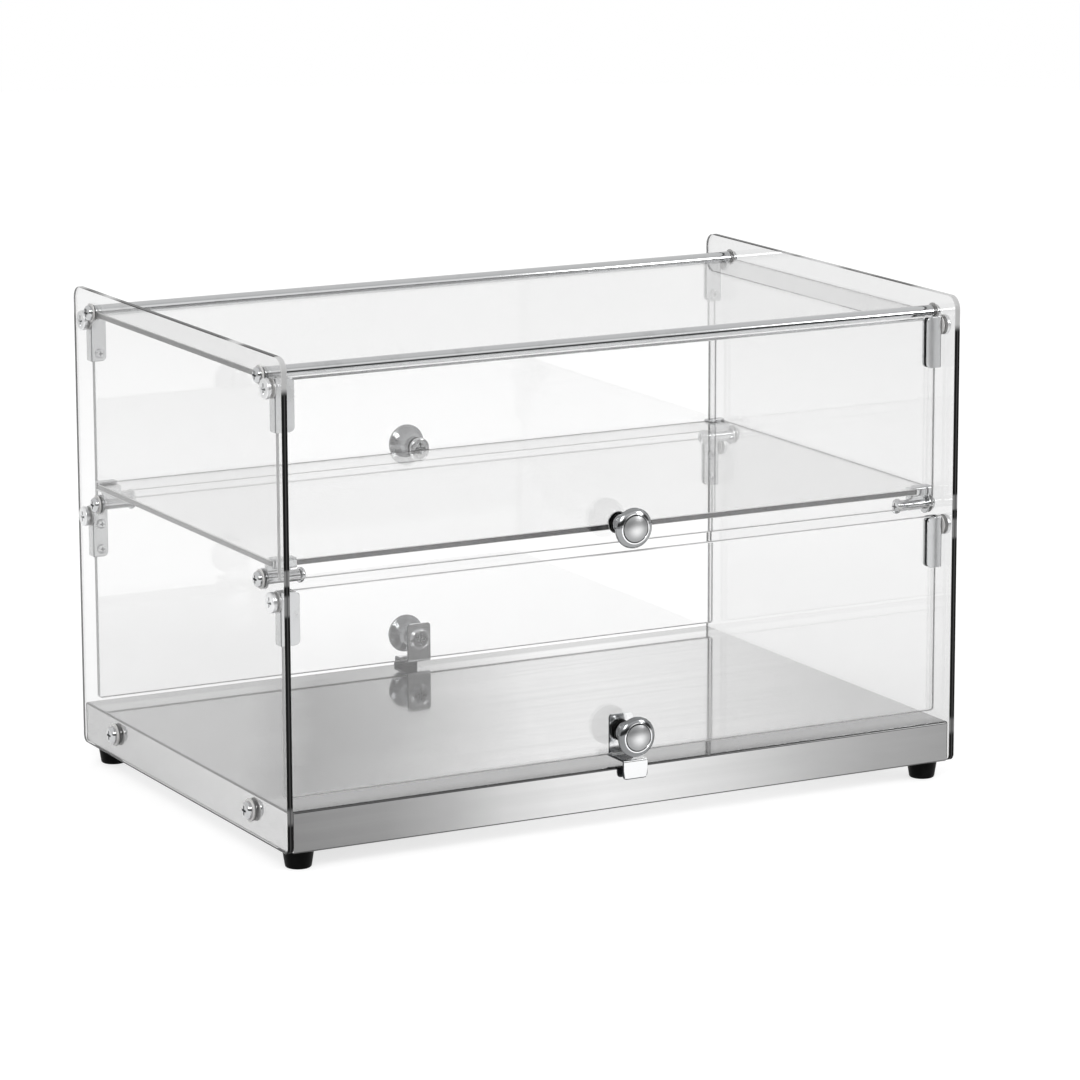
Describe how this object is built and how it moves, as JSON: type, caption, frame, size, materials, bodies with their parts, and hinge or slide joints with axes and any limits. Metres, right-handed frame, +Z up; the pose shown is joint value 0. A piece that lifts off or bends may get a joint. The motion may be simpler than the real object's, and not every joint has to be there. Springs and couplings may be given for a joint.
{
  "type": "buffet display case",
  "caption": "Glass countertop display case with a shelf, a brushed steel base on rubber feet, and flap doors with round knobs at front and rear.",
  "frame": {"origin": "on the ground under the middle of the case", "axes": "+X to the right seen from the front, -Y to the front, +Z up"},
  "size_m": [0.5096, 0.355, 0.333],
  "materials": {
    "clear_glass": "polished, ground edges",
    "brushed_steel": "brushed along the width",
    "polished_steel": "polished",
    "plated_steel": "bright plated",
    "chrome": "bright",
    "black_rubber": "matte",
    "liner": "soft, matte",
    "clear_nylon": "translucent"
  },
  "bodies": {
    "case": {"base_screws": "plated_steel", "base_tray": "brushed_steel", "base_washers": "plated_steel", "foot_screws": "plated_steel", "front_left_foot": "black_rubber", "front_left_shelf_clip": "chrome", "front_right_foot": "black_rubber", "front_right_shelf_clip": "chrome", "front_top_rod": "chrome", "left_side_pane": "clear_glass", "pane_and_clip_screws": "plated_steel", "pane_washers": "clear_nylon", "pivot_bushes": "clear_nylon", "rear_left_foot": "black_rubber", "rear_left_shelf_clip": "chrome", "rear_right_foot": "black_rubber", "rear_right_shelf_clip": "chrome", "rear_top_rod": "chrome", "right_side_pane": "clear_glass", "shelf_pane": "clear_glass", "top_pane": "clear_glass", "tray_nuts": "plated_steel"},
    "front_upper_door": {"front_upper_door_clamp_screws": "plated_steel", "front_upper_door_clip_liners": "liner", "front_upper_door_knob": "chrome", "front_upper_door_knob_screw": "plated_steel", "front_upper_door_knob_washer": "black_rubber", "front_upper_door_left_clip": "chrome", "front_upper_door_pane": "clear_glass", "front_upper_door_pivot_screws": "plated_steel", "front_upper_door_right_clip": "chrome"},
    "front_lower_door": {"front_lower_door_clamp_screws": "plated_steel", "front_lower_door_clip_liners": "liner", "front_lower_door_knob": "chrome", "front_lower_door_knob_screw": "plated_steel", "front_lower_door_knob_washer": "black_rubber", "front_lower_door_left_clip": "chrome", "front_lower_door_pane": "clear_glass", "front_lower_door_pivot_screws": "plated_steel", "front_lower_door_right_clip": "chrome", "front_lower_door_stop_plate": "polished_steel"},
    "rear_upper_door": {"rear_upper_door_clamp_screws": "plated_steel", "rear_upper_door_clip_liners": "liner", "rear_upper_door_knob": "chrome", "rear_upper_door_knob_screw": "plated_steel", "rear_upper_door_knob_washer": "black_rubber", "rear_upper_door_left_clip": "chrome", "rear_upper_door_pane": "clear_glass", "rear_upper_door_pivot_screws": "plated_steel", "rear_upper_door_right_clip": "chrome"},
    "rear_lower_door": {"rear_lower_door_clamp_screws": "plated_steel", "rear_lower_door_clip_liners": "liner", "rear_lower_door_knob": "chrome", "rear_lower_door_knob_screw": "plated_steel", "rear_lower_door_knob_washer": "black_rubber", "rear_lower_door_left_clip": "chrome", "rear_lower_door_pane": "clear_glass", "rear_lower_door_pivot_screws": "plated_steel", "rear_lower_door_right_clip": "chrome", "rear_lower_door_stop_plate": "polished_steel"}
  },
  "joints": [
    {"name": "front_upper_door_hinge", "type": "hinge", "parent": "case", "child": "front_upper_door", "pos_m": [0, -0.148, 0.3115], "axis": [-1, 0, 0], "range_deg": [0, 190]},
    {"name": "front_lower_door_hinge", "type": "hinge", "parent": "case", "child": "front_lower_door", "pos_m": [0, -0.152, 0.1751], "axis": [-1, 0, 0], "range_deg": [0, 110]},
    {"name": "rear_upper_door_hinge", "type": "hinge", "parent": "case", "child": "rear_upper_door", "pos_m": [0, 0.148, 0.3115], "axis": [1, 0, 0], "range_deg": [0, 190]},
    {"name": "rear_lower_door_hinge", "type": "hinge", "parent": "case", "child": "rear_lower_door", "pos_m": [0, 0.152, 0.1751], "axis": [1, 0, 0], "range_deg": [0, 110]}
  ]
}
